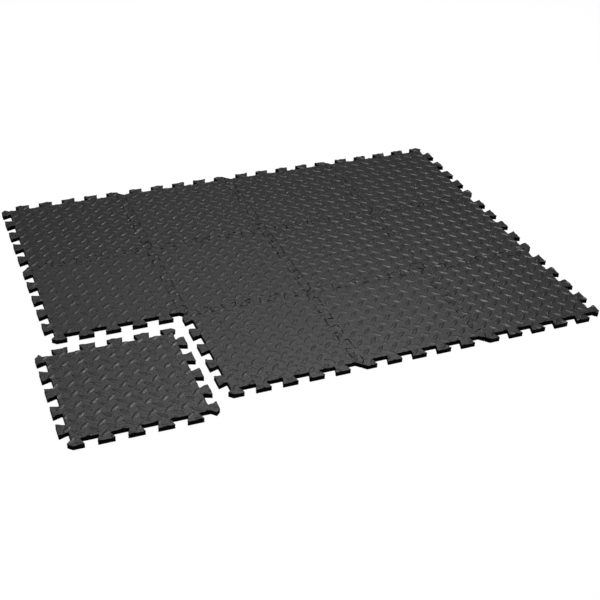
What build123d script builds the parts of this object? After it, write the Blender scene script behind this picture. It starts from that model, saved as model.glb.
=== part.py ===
from build123d import *
import os
from math import cos, radians, sin

# An exercise mat of square foam tiles that interlock at their edges, one tile lying loose on the floor
# beside its place. Millimetres, +Z up, +X along the long side, +Y away from the front.
# The origin is on the floor, at the middle of the whole layout's box.

# ---- driving dimensions ----
TILE = 304.8            # from one seam line to the next, a 12 inch tile
COLUMNS = 4             # tiles along X
ROWS = ("front", "middle", "back")   # tiles along Y, nearest row first
THICKNESS = 12.0        # foam sheet, over the top of its tread

TABS = 5                # dovetail tabs on each side of a tile
TAB_START = 16.5        # corner of the tile to the middle of the side's first tab
TAB_DEPTH = 20.0        # root to tip of a tab, half of it on each side of the seam line
TAB_LEAN = 6.8          # how far each flank of a tab leans out between root and tip
CORNER_ROUND = 1.5      # radius that the cutting die leaves at each corner of the outline
CUT_GAP = 0.3           # gap between two seated tiles, square to their cut edges

LOOSE_TILE = ("front", 1)   # row and column of the tile that is out of its place
LOOSE_GAP_X = 19.0      # clear floor between its tab tips and the mat's, along X
LOOSE_GAP_Y = 31.2      # the same, along Y
LOOSE_TURN = -0.64      # degrees that it is turned on the floor, seen from above

# ---- values that follow ----
HALF_DEPTH = TAB_DEPTH / 2
TAB_PITCH = (TILE - 2 * TAB_START) / (TABS - 0.5)
TAB_TIP = TAB_PITCH / 2 + TAB_LEAN      # a tab's tip and its neck add up to one pitch,
TAB_NECK = TAB_PITCH / 2 - TAB_LEAN     # so that a tab fills the socket facing it
QUARTER_TURNS = (0, 90, 180, 270)


def side_points():
    """Seam of one side, from the tile's corner at (0, 0) to the last root before the corner at (TILE, 0)."""
    points = [(0, 0), (HALF_DEPTH, -HALF_DEPTH)]
    for tab in range(TABS):
        middle = TAB_START + tab * TAB_PITCH
        if tab > 0:
            points.append((middle - TAB_NECK / 2, HALF_DEPTH))
            points.append((middle - TAB_TIP / 2, -HALF_DEPTH))
        points.append((middle + TAB_TIP / 2, -HALF_DEPTH))
        points.append((middle + TAB_NECK / 2, HALF_DEPTH))
    points.append((TILE - HALF_DEPTH, HALF_DEPTH))
    return points


def turned(point, degrees):
    """A point turned about the middle of the tile."""
    x = point[0] - TILE / 2
    y = point[1] - TILE / 2
    c = cos(radians(degrees))
    s = sin(radians(degrees))
    return (TILE / 2 + c * x - s * y, TILE / 2 + s * x + c * y)


def make_tile():
    """One tile at the grid's first place: four equal sides, so any side fits any other tile's side."""
    outline = []
    for degrees in QUARTER_TURNS:
        for point in side_points():
            outline.append(turned(point, degrees))
    seam = make_face(Polyline(*outline, close=True))
    cut = offset(seam, amount=-CUT_GAP / 2, kind=Kind.INTERSECTION)
    rounded = fillet(cut.vertices(), radius=CORNER_ROUND)
    return extrude(rounded, amount=THICKNESS).solid()


def place_in_grid(row, column):
    """Where a seated tile belongs, with columns counted from 1."""
    return Pos((column - 1) * TILE, ROWS.index(row) * TILE, 0)


def place_loose():
    """The loose tile has been drawn away from the mat, to the left and to the front, and turned a little."""
    shift = Pos(-(TAB_DEPTH + LOOSE_GAP_X), -(TAB_DEPTH + LOOSE_GAP_Y), 0)
    middle = Pos(TILE / 2, TILE / 2, 0)
    return shift * middle * Rot(0, 0, LOOSE_TURN) * middle.inverse()


tile = make_tile()
tiles = {}
for row in ROWS:
    for column in range(1, COLUMNS + 1):
        place = place_in_grid(row, column)
        if (row, column) == LOOSE_TILE:
            place = place_loose() * place
        tiles[f"tile_{row}_{column}"] = tile.moved(place)

# the whole layout is moved so that the origin is under the middle of its box
box = Compound(list(tiles.values())).bounding_box()
to_origin = Pos(-box.center().X, -box.center().Y, -box.min.Z)

os.makedirs("parts", exist_ok=True)
for name, solid in tiles.items():
    export_step(solid.moved(to_origin), f"parts/{name}.step")

print("box", box.size.X, box.size.Y, box.size.Z, "grid corner at", -box.center().X, -box.center().Y)
print("tab pitch", TAB_PITCH, "tip", TAB_TIP, "neck", TAB_NECK)
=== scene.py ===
from math import atan2, cos, pi, radians, sin

import bmesh
import bpy
from bpy.props import FloatProperty, FloatVectorProperty, IntProperty, PointerProperty
from mathutils import Euler, Matrix, Vector


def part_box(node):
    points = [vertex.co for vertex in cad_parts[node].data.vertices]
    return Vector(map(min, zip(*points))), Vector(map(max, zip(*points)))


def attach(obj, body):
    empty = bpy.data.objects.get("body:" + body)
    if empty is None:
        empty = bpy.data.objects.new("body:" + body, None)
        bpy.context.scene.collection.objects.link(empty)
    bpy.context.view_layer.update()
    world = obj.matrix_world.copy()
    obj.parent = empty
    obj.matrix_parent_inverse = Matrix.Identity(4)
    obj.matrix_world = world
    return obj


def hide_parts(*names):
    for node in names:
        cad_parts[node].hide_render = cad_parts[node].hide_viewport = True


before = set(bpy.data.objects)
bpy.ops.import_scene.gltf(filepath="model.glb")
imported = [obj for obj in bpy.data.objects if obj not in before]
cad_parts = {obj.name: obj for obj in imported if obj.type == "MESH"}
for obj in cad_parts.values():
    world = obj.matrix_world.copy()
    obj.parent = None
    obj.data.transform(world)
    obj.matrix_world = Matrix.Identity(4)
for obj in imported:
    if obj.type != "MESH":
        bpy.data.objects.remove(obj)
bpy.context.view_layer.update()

bl_info = {
    "name": "Interlocking foam mat",
    "version": (1, 0, 0),
    "blender": (4, 5, 0),
    "location": "View3D > Sidebar > Foam Mat",
    "description": "Makes a mat of interlocking foam tiles with a lozenge tread pressed into the skin",
    "category": "Mesh",
}

MM = 0.001
LOOSE_TILE = "tile_front_1"          # the tile that lies beside its place
SEATED_TILES = sorted(set(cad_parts) - {LOOSE_TILE})

# the cut sheet
WELD = 0.001 * MM                    # corners of a CAD tile this close are one corner
FACES_DOWN = -0.9                    # a face whose normal points lower than this is on the underside
LEVEL = 0.999                        # a face whose normal is this upright, up or down, is flat
EDGE_STEPS = 4                       # steps round a wall's lower and upper edge
WALL_STEPS = 6                       # steps up the wall between them
FLAT_CELL = 11.7 * MM                # the flat faces are divided into cells smaller than a lozenge

# the tread
TREAD_ROWS = 12                      # lozenges along each side of the field that a tile is cut from
KIND_OFFSET = 0.25                   # each kind's grid sits this share of a pitch from the middle
LOZENGE_TURN = pi / 4                # both kinds of lozenge lie across the tile's sides, one kind each way
LOZENGE_POINTS = (9, 7, 2)           # points along, across and up one lozenge
BLUNT_END = 0.1                      # width of a lozenge's end, as a share of its middle
FLANK_SHARE = 0.9                    # share of a lozenge's half width that its flank takes
END_SHARE = 0.2                      # and share of its half length that its end takes
LOZENGE_ROOT = 0.5 * MM              # how far a lozenge's body reaches down into the sheet
FOOT_SINK = 0.03 * MM                # its foot starts just under the sheet's top, so the two join cleanly
TRIM_LIFT = 0.02 * MM                # the trimming sheet clears the crests by this much
HALF_PITCH = 0.5                     # the pattern starts up to this share of a pitch to either side
CUT_SKEW = radians(0.9)              # the most that a tile is cut out of line with the tread
PRESSING = "pressing"                # each tile's own value, -1 to 1: how hard its skin was pressed
PRESSING_DRAWS = 100                 # keeps that draw apart from the tread's
QUITE_FLAT = 0.99999                 # faces flatter than this are shaded flat
SOFT_EDGE = radians(40)              # edges that bend less than this are shaded smooth
WALL_STEEPNESS = 0.8                 # faces whose normal is less upright than this are cut foam

# the finishes
NOISE_LOW, NOISE_HIGH = 0.3, 0.7     # nearly all of a noise pattern lies between these

# kinds of node that are used again and again, with their settings
TIMES = ("ShaderNodeMath", {"operation": "MULTIPLY"})
PLUS = ("ShaderNodeMath", {"operation": "ADD"})
MINUS = ("ShaderNodeMath", {"operation": "SUBTRACT"})
SIZE_OF = ("ShaderNodeMath", {"operation": "ABSOLUTE"})
SINE = ("ShaderNodeMath", {"operation": "SINE"})
ABOVE = ("ShaderNodeMath", {"operation": "GREATER_THAN"})
BELOW = ("ShaderNodeMath", {"operation": "LESS_THAN"})
SMOOTH_RISE = ("ShaderNodeMapRange", {"interpolation_type": "SMOOTHSTEP"})
SHADED_COLOUR = ("ShaderNodeVectorMath", {"operation": "SCALE"})
COMMON_PART = ("GeometryNodeMeshBoolean", {"operation": "INTERSECT", "solver": "MANIFOLD"})
JOINED_SHAPE = ("GeometryNodeMeshBoolean", {"operation": "UNION", "solver": "MANIFOLD"})

# the stage
FLOOR_HALF = 40.0                    # metres, so that its far edge is lost at the horizon
GLOW_START, GLOW_END = 0.01, 0.06    # the white walls fade out between these heights of view
GLOW = 1.0                           # brightness of the white walls
CEILING = 0.13                       # and of everything above them
SENSOR_WIDTH = 36                    # millimetres
NEAREST_SEEN = 0.1                   # metres from the camera
SOFTBOX_DISTANCE = 3.0               # metres from the mat's middle
SOFTBOXES = (                        # name, bearing, height, side in metres, power in watts
    ("behind", radians(-4), radians(58), 1.6, 18),
    ("behind_right", radians(42), radians(60), 0.7, 35),
    ("front_fill", radians(165), radians(50), 1.6, 45),
    ("left_fill", radians(275), radians(55), 1.2, 11),
)


def srgb(code):
    """The linear colour of an sRGB hex value such as #3a3a3c."""
    levels = [int(code[i:i + 2], 16) / 255 for i in (1, 3, 5)]
    return [v / 12.92 if v <= 0.04045 else ((v + 0.055) / 1.055) ** 2.4 for v in levels]


# ---- settings ----

class FoamTileSettings(bpy.types.PropertyGroup):
    """How the sheet was cut into tiles."""
    top_round: FloatProperty(
        name="Top edge", description="Radius that the die pulls onto the skin at the cut edge",
        default=1.4 * MM, min=0.1 * MM, unit="LENGTH", precision=5)
    bottom_round: FloatProperty(
        name="Bottom edge", description="Radius of the lower edge", default=0.4 * MM, min=0.1 * MM,
        unit="LENGTH", precision=5)
    cut_bow: FloatProperty(
        name="Cut bow", description="How far the middle of a cut wall sits back, because foam springs back",
        default=0.35 * MM, min=0.0, unit="LENGTH", precision=5)
    least_step: FloatProperty(
        name="Least step", description="Shortest step along the cut outline round its corners",
        default=0.3 * MM, min=0.05 * MM, unit="LENGTH", precision=5)


class TreadSettings(bpy.types.PropertyGroup):
    """The raised pattern pressed into the top skin."""
    pitch_x: FloatProperty(
        name="Pitch along X", description="From one lozenge to the next of its kind", default=34.4 * MM,
        unit="LENGTH", precision=5)
    pitch_y: FloatProperty(
        name="Pitch along Y", description="From one lozenge to the next of its kind", default=35.5 * MM,
        unit="LENGTH", precision=5)
    length: FloatProperty(
        name="Lozenge length", description="Point to point", default=29.0 * MM, unit="LENGTH", precision=5)
    width: FloatProperty(
        name="Lozenge width", description="Across the middle", default=11.5 * MM, unit="LENGTH", precision=5)
    height: FloatProperty(
        name="Tread height", description="Crest above the sheet", default=1.5 * MM, unit="LENGTH",
        precision=5)
    seed: IntProperty(
        name="Seed", description="Where each tile was cut from the patterned sheet", default=12)


class FoamFinishSettings(bpy.types.PropertyGroup):
    """Colours and gloss of the foam."""
    skin_colour: FloatVectorProperty(
        name="Skin", description="The pressed top skin", subtype="COLOR", size=3, default=srgb("#131313"))
    cut_colour: FloatVectorProperty(
        name="Cut foam", description="The cut walls", subtype="COLOR", size=3, default=srgb("#050505"))
    skin_roughness: FloatProperty(
        name="Skin roughness", description="Matt is 1", default=0.475, min=0.0, max=1.0)


class StageSettings(bpy.types.PropertyGroup):
    """Camera, lights and floor."""
    azimuth: FloatProperty(
        name="Azimuth", description="Camera's bearing, 0 in front", default=radians(-23.28), unit="ROTATION")
    elevation: FloatProperty(
        name="Elevation", description="Camera's height angle", default=radians(33.58), unit="ROTATION")
    roll: FloatProperty(
        name="Roll", description="Camera's turn about its own line of sight", default=radians(2.65),
        unit="ROTATION")
    distance: FloatProperty(
        name="Distance", description="Camera to its aim point", default=2.605, unit="LENGTH", precision=4)
    aim: FloatVectorProperty(
        name="Aim", description="Point on the floor that the camera looks at", subtype="XYZ", size=3,
        default=(-0.0073, -0.1417, 0.0), unit="LENGTH", precision=4)
    focal: FloatProperty(name="Focal length", description="In millimetres, on a 36 mm sensor", default=66.26)
    floor_colour: FloatVectorProperty(
        name="Floor", description="Plain pale floor", subtype="COLOR", size=3, default=srgb("#f8f8f8"))


# ---- the shape of a tile ----

def cut_outline(node, least_step):
    """The die's outline: the rim of a CAD tile's underside, in order, anticlockwise seen from above."""
    mesh = bmesh.new()
    mesh.from_mesh(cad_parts[node].data)
    bmesh.ops.remove_doubles(mesh, verts=mesh.verts, dist=WELD)
    under = {face for face in mesh.faces if face.normal.z < FACES_DOWN}
    following = {}
    for face in under:
        for loop in face.loops:
            if sum(other in under for other in loop.edge.link_faces) == 1:
                following[loop.link_loop_next.vert] = loop.vert
    first = min(following, key=lambda vert: tuple(vert.co))    # the same corner in every run
    points = [first.co.xy.copy()]
    vert = following[first]
    while vert is not first:
        points.append(vert.co.xy.copy())
        vert = following[vert]
    mesh.free()
    return thinned(points, least_step)


def thinned(points, least_step):
    """The outline with fewer points round its small corners. The ends of its straight runs stay."""
    kept = []
    for i, point in enumerate(points):
        before = (point - points[i - 1]).length
        after = (points[(i + 1) % len(points)] - point).length
        ends_a_run = max(before, after) > least_step
        if ends_a_run or not kept or (point - kept[-1]).length > least_step:
            kept.append(point)
    return kept


def corner_directions(points):
    """For each point of an outline, the way that an even inset moves it, for one unit of inset."""
    ways = []
    for i, point in enumerate(points):
        a = (point - points[i - 1]).normalized()
        b = (points[(i + 1) % len(points)] - point).normalized()
        out_a = Vector((a.y, -a.x))
        out_b = Vector((b.y, -b.x))
        ways.append(-(out_a + out_b) / (1 + out_a.dot(out_b)))
    return ways


def wall_profile(tile, top):
    """Heights and insets up a cut wall: lower edge, bowed wall, upper edge."""
    low, high, bow = tile.bottom_round, tile.top_round, tile.cut_bow
    levels = []
    for i in range(EDGE_STEPS):
        turn = i / (EDGE_STEPS - 1) * pi / 2
        levels.append((low - low * cos(turn), low - low * sin(turn)))
    for i in range(1, WALL_STEPS):
        part = i / WALL_STEPS
        levels.append((low + part * (top - low - high), bow * sin(pi * part)))
    for i in range(EDGE_STEPS + 1):
        turn = i / EDGE_STEPS * pi / 2
        levels.append((top - high + high * sin(turn), high - high * cos(turn)))
    return levels


def make_sheet(name, outline, levels):
    """A closed slab with the outline's shape, its walls following the levels."""
    ways = corner_directions(outline)
    verts, faces = [], []
    count = len(outline)
    for height, inset in levels:
        for point, way in zip(outline, ways):
            verts.append((*(point + inset * way), height))
    for level in range(len(levels) - 1):
        start = level * count
        for i in range(count):
            j = (i + 1) % count
            faces.append((start + i, start + j, start + count + j, start + count + i))
    faces.append(tuple(reversed(range(count))))
    faces.append(tuple(range(len(verts) - count, len(verts))))
    mesh = bpy.data.meshes.new(name)
    mesh.from_pydata(verts, [], faces)
    mesh.validate()
    divide_flats(mesh)
    return mesh


def divide_flats(mesh):
    """Cuts a slab's two flat faces into small cells, so that no face has to hold a whole lozenge."""
    work = bmesh.new()
    work.from_mesh(mesh)
    for axis in (0, 1):
        low = min(vert.co[axis] for vert in work.verts)
        high = max(vert.co[axis] for vert in work.verts)
        for i in range(1, int((high - low) / FLAT_CELL) + 1):
            place, normal = Vector(), Vector()
            place[axis] = low + i * FLAT_CELL
            normal[axis] = 1
            flats = [face for face in work.faces if abs(face.normal.z) > LEVEL]
            edges = dict.fromkeys(edge for face in flats for edge in face.edges)
            verts = dict.fromkeys(vert for face in flats for vert in face.verts)
            bmesh.ops.bisect_plane(work, geom=[*flats, *edges, *verts], plane_co=place, plane_no=normal)
    work.to_mesh(mesh)
    work.free()


def tile_turn(outline):
    """How far a tile is turned on the floor, in radians: its longest runs lie along its sides."""
    runs = [point - outline[i - 1] for i, point in enumerate(outline)]
    longest = max(runs, key=lambda run: run.length)
    bearing = atan2(longest.y, longest.x)
    return bearing - round(bearing / (pi / 2)) * pi / 2


# ---- node trees ----

def feed(tree, node, inputs):
    """Gives a node's inputs what they need, in order or by number or name. Each is a value, or another node
    or one of its outputs to link, or a list of those."""
    if isinstance(inputs, tuple):
        inputs = dict(enumerate(inputs))
    for socket, given in inputs.items():
        for source in given if isinstance(given, list) else [given]:
            if isinstance(source, bpy.types.Node):
                source = source.outputs[0]
            if isinstance(source, bpy.types.NodeSocket):
                tree.links.new(source, node.inputs[socket])
            else:
                node.inputs[socket].default_value = source


def add_node(tree, kind, settings=None, inputs=()):
    """Adds a node with its settings and inputs."""
    node = tree.nodes.new(kind)
    for name, value in (settings or {}).items():
        setattr(node, name, value)
    feed(tree, node, inputs)
    return node


# ---- tread, by geometry nodes ----

def tree_inputs(tree, sizes):
    """Declares a tree's named inputs and returns their sockets by name."""
    tree.interface.new_socket("Geometry", in_out="OUTPUT", socket_type="NodeSocketGeometry")
    tree.interface.new_socket("Geometry", in_out="INPUT", socket_type="NodeSocketGeometry")
    for name, kind in sizes:
        tree.interface.new_socket(name, in_out="INPUT", socket_type=kind)
    return {socket.name: socket for socket in add_node(tree, "NodeGroupInput").outputs}


def rounded_share(tree, value):
    """Moves a share from -1 to 1 outwards, so that rings crowd near the ends."""
    return add_node(tree, *SINE, (add_node(tree, *TIMES, (value, pi / 2)),))


def lozenge(tree, given):
    """One raised lozenge: a lens seen from above, with soft flanks and a broad crest."""
    points_along, points_across, points_up = LOZENGE_POINTS
    block = add_node(tree, "GeometryNodeMeshCube", {}, ((2, 2, 2), points_along, points_across, points_up))
    place = add_node(tree, "GeometryNodeInputPosition")
    at = add_node(tree, "ShaderNodeSeparateXYZ", {}, (place,))
    along = rounded_share(tree, at.outputs[0])
    across = rounded_share(tree, at.outputs[1])
    taper = add_node(tree, *MINUS, (1.0, add_node(tree, *TIMES, (along, along))))
    taper = add_node(tree, *TIMES, (taper, 1 - BLUNT_END))
    taper = add_node(tree, *PLUS, (taper, BLUNT_END))
    half_length = add_node(tree, *TIMES, (given["Lozenge length"], 0.5))
    half_width = add_node(tree, *TIMES, (given["Lozenge width"], 0.5))
    x = add_node(tree, *TIMES, (along, half_length))
    y = add_node(tree, *TIMES, (add_node(tree, *TIMES, (across, taper)), half_width))
    from_side = add_node(tree, *MINUS, (1.0, add_node(tree, *SIZE_OF, (across,))))
    from_end = add_node(tree, *MINUS, (1.0, add_node(tree, *SIZE_OF, (along,))))
    flank = add_node(tree, *SMOOTH_RISE, {0: from_side, 2: FLANK_SHARE})
    end = add_node(tree, *SMOOTH_RISE, {0: from_end, 2: END_SHARE})
    rise = add_node(tree, *TIMES, (flank, end))
    crest = add_node(tree, *PLUS, (given["Tread height"], FOOT_SINK))
    top = add_node(tree, *MINUS, (add_node(tree, *TIMES, (rise, crest)), FOOT_SINK))
    is_top = add_node(tree, *ABOVE, (at.outputs[2], 0.0))
    z = add_node(tree, "ShaderNodeMix", {}, {0: is_top, 2: -LOZENGE_ROOT, 3: top})
    shaped = add_node(tree, "ShaderNodeCombineXYZ", {}, (x, y, z))
    return add_node(tree, "GeometryNodeSetPosition", {}, {0: block, 2: shaped})


def lozenge_field(tree, given):
    """Both kinds of lozenge on two grids, the second kind in the middle of the first kind's squares."""
    shape = lozenge(tree, given)
    wide = add_node(tree, *TIMES, (given["Pitch X"], TREAD_ROWS - 1))
    deep = add_node(tree, *TIMES, (given["Pitch Y"], TREAD_ROWS - 1))
    grid = add_node(tree, "GeometryNodeMeshGrid", {}, (wide, deep, TREAD_ROWS, TREAD_ROWS))
    kinds = []
    for side, turn in ((KIND_OFFSET, LOZENGE_TURN), (-KIND_OFFSET, -LOZENGE_TURN)):
        x = add_node(tree, *TIMES, (given["Pitch X"], side))
        y = add_node(tree, *TIMES, (given["Pitch Y"], side))
        shift = add_node(tree, "ShaderNodeCombineXYZ", {}, (x, y))
        moved = add_node(tree, "GeometryNodeTransform", {}, (grid, shift))
        kinds.append(add_node(tree, "GeometryNodeInstanceOnPoints", {},
                              {0: moved, 2: shape, 5: Euler((0, 0, turn))}))
    return add_node(tree, "GeometryNodeJoinGeometry", {}, ([*reversed(kinds)],))


def tread_tree():
    """Presses the tread into a tile: the field is laid over the sheet, cut to its outline and joined on."""
    tree = bpy.data.node_groups.new("pressed_tread", "GeometryNodeTree")
    given = tree_inputs(tree, [
        ("Pitch X", "NodeSocketFloat"), ("Pitch Y", "NodeSocketFloat"),
        ("Lozenge length", "NodeSocketFloat"), ("Lozenge width", "NodeSocketFloat"),
        ("Tread height", "NodeSocketFloat"), ("Sheet top", "NodeSocketFloat"),
        ("Tile middle", "NodeSocketVector"), ("Tile turn", "NodeSocketFloat"), ("Seed", "NodeSocketInt"),
        ("Skin", "NodeSocketMaterial"), ("Cut foam", "NodeSocketMaterial")])
    field = lozenge_field(tree, given)

    # each tile was cut from the patterned sheet at its own place, a little out of square
    one_draw = add_node(tree, "FunctionNodeInputInt", {"integer": 1})
    drift = add_node(tree, "FunctionNodeRandomValue", {"data_type": "FLOAT_VECTOR"}, {
        0: (-HALF_PITCH, -HALF_PITCH, -1), 1: (HALF_PITCH, HALF_PITCH, 1), 7: one_draw, 8: given["Seed"]})
    drifted = add_node(tree, "ShaderNodeSeparateXYZ", {}, (drift,))
    x = add_node(tree, *TIMES, (drifted.outputs[0], given["Pitch X"]))
    y = add_node(tree, *TIMES, (drifted.outputs[1], given["Pitch Y"]))
    skew = add_node(tree, *TIMES, (drifted.outputs[2], CUT_SKEW))
    shift = add_node(tree, "ShaderNodeCombineXYZ", {}, (x, y, given["Sheet top"]))
    turn = add_node(tree, "ShaderNodeCombineXYZ", {}, {2: add_node(tree, *PLUS, (given["Tile turn"], skew))})
    laid = add_node(tree, "GeometryNodeTransform", {}, (field, shift))
    laid = add_node(tree, "GeometryNodeTransform", {}, (laid, given["Tile middle"], turn))
    laid = add_node(tree, "GeometryNodeRealizeInstances", {}, (laid,))

    # the sheet itself, lifted by the tread's height, trims the field, so its ends round off as the edge does
    height = add_node(tree, *PLUS, (given["Tread height"], TRIM_LIFT))
    lift = add_node(tree, "ShaderNodeCombineXYZ", {}, {2: height})
    sheet = given["Geometry"]
    cutter = add_node(tree, "GeometryNodeTransform", {}, (sheet, lift))
    trimmed = add_node(tree, *COMMON_PART, {1: [laid, cutter]})
    joined = add_node(tree, *JOINED_SHAPE, {1: [sheet, trimmed]})

    # flat faces are shaded flat, and only real corners stay sharp
    facing = add_node(tree, "GeometryNodeInputNormal")
    up = add_node(tree, "ShaderNodeSeparateXYZ", {}, (facing,)).outputs[2]
    upright = add_node(tree, *SIZE_OF, (up,))
    curved = add_node(tree, *BELOW, (upright, QUITE_FLAT))
    bend = add_node(tree, "GeometryNodeInputMeshEdgeAngle")
    soft_edge = add_node(tree, *BELOW, (bend, SOFT_EDGE))
    shaded = add_node(tree, "GeometryNodeSetShadeSmooth", {"domain": "FACE"}, {0: joined, 2: curved})
    shaded = add_node(tree, "GeometryNodeSetShadeSmooth", {"domain": "EDGE"}, {0: shaded, 2: soft_edge})

    # each tile keeps its own value for how hard it was pressed, and its steep faces are cut foam
    own_seed = add_node(tree, *PLUS, (given["Seed"], PRESSING_DRAWS))
    press = add_node(tree, "FunctionNodeRandomValue", {"data_type": "FLOAT"},
                     {2: -1.0, 3: 1.0, 7: one_draw, 8: own_seed}).outputs[1]
    pressed = add_node(tree, "GeometryNodeStoreNamedAttribute", {"domain": "FACE"},
                       {0: shaded, 2: PRESSING, 3: press})
    whole = add_node(tree, "GeometryNodeRealizeInstances", {}, (pressed,))
    is_wall = add_node(tree, *BELOW, (upright, WALL_STEEPNESS))
    skinned = add_node(tree, "GeometryNodeSetMaterial", {}, {0: whole, 2: given["Skin"]})
    finished = add_node(tree, "GeometryNodeSetMaterial", {}, (skinned, is_wall, given["Cut foam"]))
    add_node(tree, "NodeGroupOutput", {}, (finished,))
    return tree


# ---- finishes ----

def new_material(name):
    """An empty node material with its shader, and the shader's node."""
    material = bpy.data.materials.new(name)
    material.use_nodes = True
    tree = material.node_tree
    tree.nodes.clear()
    shader = add_node(tree, "ShaderNodeBsdfPrincipled")
    add_node(tree, "ShaderNodeOutputMaterial", {}, (shader,))
    return material, tree, shader


def pattern(tree, grain, detail, spread=None):
    """Noise on the piece's own coordinates, with blobs about `grain` metres across. If a spread is given, the
    noise is mapped onto it, from its low end to its high end."""
    place = add_node(tree, "ShaderNodeTexCoord").outputs["Object"]
    noise = add_node(tree, "ShaderNodeTexNoise", {"noise_dimensions": "3D"},
                     {"Vector": place, "Scale": 1 / grain, "Detail": detail})
    if spread is None:
        return noise
    return add_node(tree, "ShaderNodeMapRange", {}, (noise, NOISE_LOW, NOISE_HIGH, *spread))


def pressed_skin(finish):
    """EVA foam skin, hot pressed against an etched plate: dark, satin, with a fine grain."""
    material, tree, shader = new_material("pressed_eva_skin")

    # the gloss wanders across a tile, and differs a little from tile to tile
    gloss_spread = 0.04
    gloss = pattern(tree, 9 * MM, 3.0, (-gloss_spread, gloss_spread))
    press = add_node(tree, "ShaderNodeAttribute", {"attribute_name": PRESSING}).outputs["Fac"]
    own_gloss = add_node(tree, *TIMES, (press, gloss_spread))
    own_gloss = add_node(tree, *PLUS, (finish.skin_roughness, own_gloss))

    # the etched grain is under a millimetre across, too fine to show where the whole mat is seen, so it is
    # drawn again, about 3.5 mm across, as a mottle in the shine and as a shallow waviness
    coarse = add_node(tree, "ShaderNodeBump", {}, {
        "Strength": 1.0, "Distance": 0.3 * MM, "Height": pattern(tree, 3.6 * MM, 3.0)})
    fine = add_node(tree, "ShaderNodeBump", {}, {
        "Strength": 0.6, "Distance": 0.05 * MM, "Height": pattern(tree, 0.8 * MM, 2.0), "Normal": coarse})
    tone = pattern(tree, 60 * MM, 3.0, (0.9, 1.1))
    feed(tree, shader, {
        "Base Color": add_node(tree, *SHADED_COLOUR, {0: tuple(finish.skin_colour), "Scale": tone}),
        "Roughness": add_node(tree, *PLUS, (gloss, own_gloss)),
        "Specular IOR Level": pattern(tree, 3.5 * MM, 3.0, (0.15, 0.85)),
        "Normal": fine})
    return material


def cut_foam(finish):
    """Die-cut closed-cell foam: its opened cells, half a millimetre across, trap light, so it is black."""
    material, tree, shader = new_material("die_cut_eva")
    cells = add_node(tree, "ShaderNodeBump", {}, {
        "Strength": 0.8, "Distance": 0.1 * MM, "Height": pattern(tree, 0.5 * MM, 1.0)})
    tone = pattern(tree, 0.6 * MM, 2.0, (0.6, 1.6))
    feed(tree, shader, {
        "Base Color": add_node(tree, *SHADED_COLOUR, {0: tuple(finish.cut_colour), "Scale": tone}),
        "Roughness": 0.95,
        "Specular IOR Level": 0.02,
        "Normal": cells})
    return material


def plain_floor(colour):
    """A matt studio floor lit from below, so it is evenly pale and takes hardly any shadow."""
    material, tree, shader = new_material("studio_floor")
    feed(tree, shader, {
        "Base Color": (0.08, 0.08, 0.08, 1),
        "Roughness": 0.95,
        "Specular IOR Level": 0.0,
        "Emission Color": (*colour, 1),
        "Emission Strength": 1.0})
    return material


def shared(name, make, *given):
    """The named material or node tree, made once."""
    for store in (bpy.data.materials, bpy.data.node_groups):
        if name in store:
            return store[name]
    return make(*given)


# ---- pieces ----

def tread_inputs(scene, outline, top, seed):
    """Values for the tread tree's named inputs on one tile."""
    tread = scene.foam_mat_tread
    finish = scene.foam_mat_finish
    low = Vector((min(p.x for p in outline), min(p.y for p in outline)))
    high = Vector((max(p.x for p in outline), max(p.y for p in outline)))
    middle = (low + high) / 2
    return {
        "Pitch X": tread.pitch_x,
        "Pitch Y": tread.pitch_y,
        "Lozenge length": tread.length,
        "Lozenge width": tread.width,
        "Tread height": tread.height,
        "Sheet top": top,
        "Tile middle": (middle.x, middle.y, 0),
        "Tile turn": tile_turn(outline),
        "Seed": seed,
        "Skin": shared("pressed_eva_skin", pressed_skin, finish),
        "Cut foam": shared("die_cut_eva", cut_foam, finish),
    }


def apply_tree(piece, tree, values):
    """Runs a node tree on a piece, with its inputs by name, and keeps the result as the piece's own mesh."""
    modifier = piece.modifiers.new("tread", "NODES")
    modifier.node_group = tree
    for item in tree.interface.items_tree:
        if item.item_type == "SOCKET" and item.in_out == "INPUT" and item.name in values:
            modifier[item.identifier] = values[item.name]
    bpy.context.view_layer.update()
    evaluated = piece.evaluated_get(bpy.context.evaluated_depsgraph_get())
    mesh = bpy.data.meshes.new_from_object(evaluated)
    piece.modifiers.clear()
    piece.data = mesh


def make_tile(context, node, seed):
    """One foam tile in its CAD node's place."""
    scene = context.scene
    tile = scene.foam_mat_tile
    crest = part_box(node)[1].z
    top = crest - scene.foam_mat_tread.height
    outline = cut_outline(node, tile.least_step)
    sheet = make_sheet(node, outline, wall_profile(tile, top))
    piece = bpy.data.objects.new("foam_" + node, sheet)
    scene.collection.objects.link(piece)
    apply_tree(piece, shared("pressed_tread", tread_tree), tread_inputs(scene, outline, top, seed))
    if not piece.data.polygons:
        raise RuntimeError(f"{node} came out empty")
    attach(piece, node)
    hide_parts(node)
    return piece


class FOAMMAT_OT_seated_tiles(bpy.types.Operator):
    """Make the tiles that are joined into the mat"""
    bl_idname = "foam_mat.seated_tiles"
    bl_label = "Seated tiles"

    def execute(self, context):
        for i, node in enumerate(SEATED_TILES):
            make_tile(context, node, context.scene.foam_mat_tread.seed + i + 1)
        return {"FINISHED"}


class FOAMMAT_OT_loose_tile(bpy.types.Operator):
    """Make the tile that lies beside its place"""
    bl_idname = "foam_mat.loose_tile"
    bl_label = "Loose tile"

    def execute(self, context):
        make_tile(context, LOOSE_TILE, context.scene.foam_mat_tread.seed)
        return {"FINISHED"}


# ---- stage ----

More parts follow.
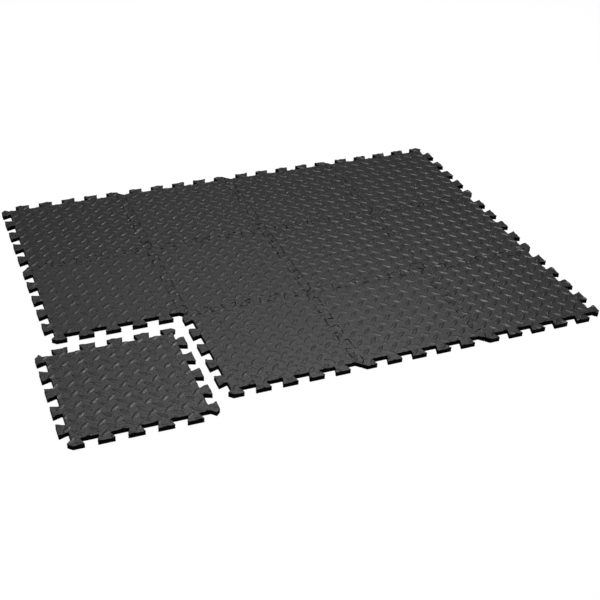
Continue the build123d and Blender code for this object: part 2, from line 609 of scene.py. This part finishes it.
def make_floor(context, colour):
    """A plain floor that the mat lies on."""
    half = FLOOR_HALF
    mesh = bpy.data.meshes.new("floor")
    corners = [(-half, -half, 0), (half, -half, 0), (half, half, 0), (-half, half, 0)]
    mesh.from_pydata(corners, [], [(0, 1, 2, 3)])
    mesh.materials.append(shared("studio_floor", plain_floor, colour))
    floor = bpy.data.objects.new("floor", mesh)
    context.scene.collection.objects.link(floor)


def make_camera(context, stage):
    """The camera, aimed at a point on the floor and rolled about its line of sight."""
    a, e = stage.azimuth, stage.elevation
    back = Vector((sin(a) * cos(e), -cos(a) * cos(e), sin(e)))
    right = Vector((cos(a), sin(a), 0))
    up = back.cross(right)
    rolled_right = cos(stage.roll) * right + sin(stage.roll) * up
    rolled_up = cos(stage.roll) * up - sin(stage.roll) * right
    camera = bpy.data.objects.new("camera", bpy.data.cameras.new("camera"))
    context.scene.collection.objects.link(camera)
    turned = Matrix((rolled_right, rolled_up, back)).transposed().to_4x4()
    camera.matrix_world = Matrix.Translation(Vector(stage.aim) + stage.distance * back) @ turned
    camera.data.sensor_width = SENSOR_WIDTH
    camera.data.lens = stage.focal
    camera.data.clip_start = NEAREST_SEEN
    context.scene.camera = camera


def add_softbox(context, name, bearing, height, side, power):
    """A square softbox facing the mat. Its bearing is 0 behind the mat and a quarter turn on its right."""
    light = bpy.data.lights.new(name, "AREA")
    light.size = side
    light.energy = power
    lamp = bpy.data.objects.new(name, light)
    context.scene.collection.objects.link(lamp)
    way = Vector((sin(bearing) * cos(height), cos(bearing) * cos(height), sin(height)))
    lamp.location = SOFTBOX_DISTANCE * way
    lamp.rotation_euler = (-way).to_track_quat("-Z", "Y").to_euler()


def set_surroundings(context):
    """A studio with white walls up to low above the floor, and a dim ceiling."""
    world = bpy.data.worlds.new("studio")
    world.use_nodes = True
    tree = world.node_tree
    way = add_node(tree, "ShaderNodeTexCoord").outputs["Generated"]
    up = add_node(tree, "ShaderNodeSeparateXYZ", {}, (way,)).outputs[2]
    fade = add_node(tree, "ShaderNodeMapRange", {}, (up, GLOW_START, GLOW_END, GLOW, CEILING))
    feed(tree, tree.nodes["Background"], {"Color": (1, 1, 1, 1), "Strength": fade})
    context.scene.world = world


class FOAMMAT_OT_stage(bpy.types.Operator):
    """Make the floor, lights and camera"""
    bl_idname = "foam_mat.stage"
    bl_label = "Stage"

    def execute(self, context):
        stage = context.scene.foam_mat_stage
        context.scene.view_settings.view_transform = "Standard"
        make_floor(context, stage.floor_colour)
        make_camera(context, stage)
        set_surroundings(context)
        for softbox in SOFTBOXES:
            add_softbox(context, *softbox)
        return {"FINISHED"}


class FOAMMAT_PT_panel(bpy.types.Panel):
    """Lists the mat's settings and the buttons that make it"""
    bl_idname = "FOAMMAT_PT_panel"
    bl_label = "Foam Mat"
    bl_space_type = "VIEW_3D"
    bl_region_type = "UI"
    bl_category = "Foam Mat"

    def draw(self, context):
        for group, (title, _) in SETTINGS.items():
            box = self.layout.box()
            box.label(text=title)
            settings = getattr(context.scene, group)
            for name in settings.__annotations__:
                box.prop(settings, name)
        for operator in OPERATORS:
            self.layout.operator(operator.bl_idname)


SETTINGS = {
    "foam_mat_tile": ("Tiles", FoamTileSettings),
    "foam_mat_tread": ("Tread", TreadSettings),
    "foam_mat_finish": ("Finish", FoamFinishSettings),
    "foam_mat_stage": ("Stage", StageSettings),
}
OPERATORS = [FOAMMAT_OT_seated_tiles, FOAMMAT_OT_loose_tile, FOAMMAT_OT_stage]
CLASSES = [*(settings for _, settings in SETTINGS.values()), *OPERATORS, FOAMMAT_PT_panel]


def register():
    for made in CLASSES:
        bpy.utils.register_class(made)
    for group, (_, settings) in SETTINGS.items():
        setattr(bpy.types.Scene, group, PointerProperty(type=settings))


def unregister():
    for group in SETTINGS:
        delattr(bpy.types.Scene, group)
    for made in reversed(CLASSES):
        bpy.utils.unregister_class(made)


def main():
    """Builds the whole mat and its stage."""
    register()
    bpy.ops.foam_mat.stage()
    bpy.ops.foam_mat.seated_tiles()
    bpy.ops.foam_mat.loose_tile()


if __name__ == "__main__":
    main()
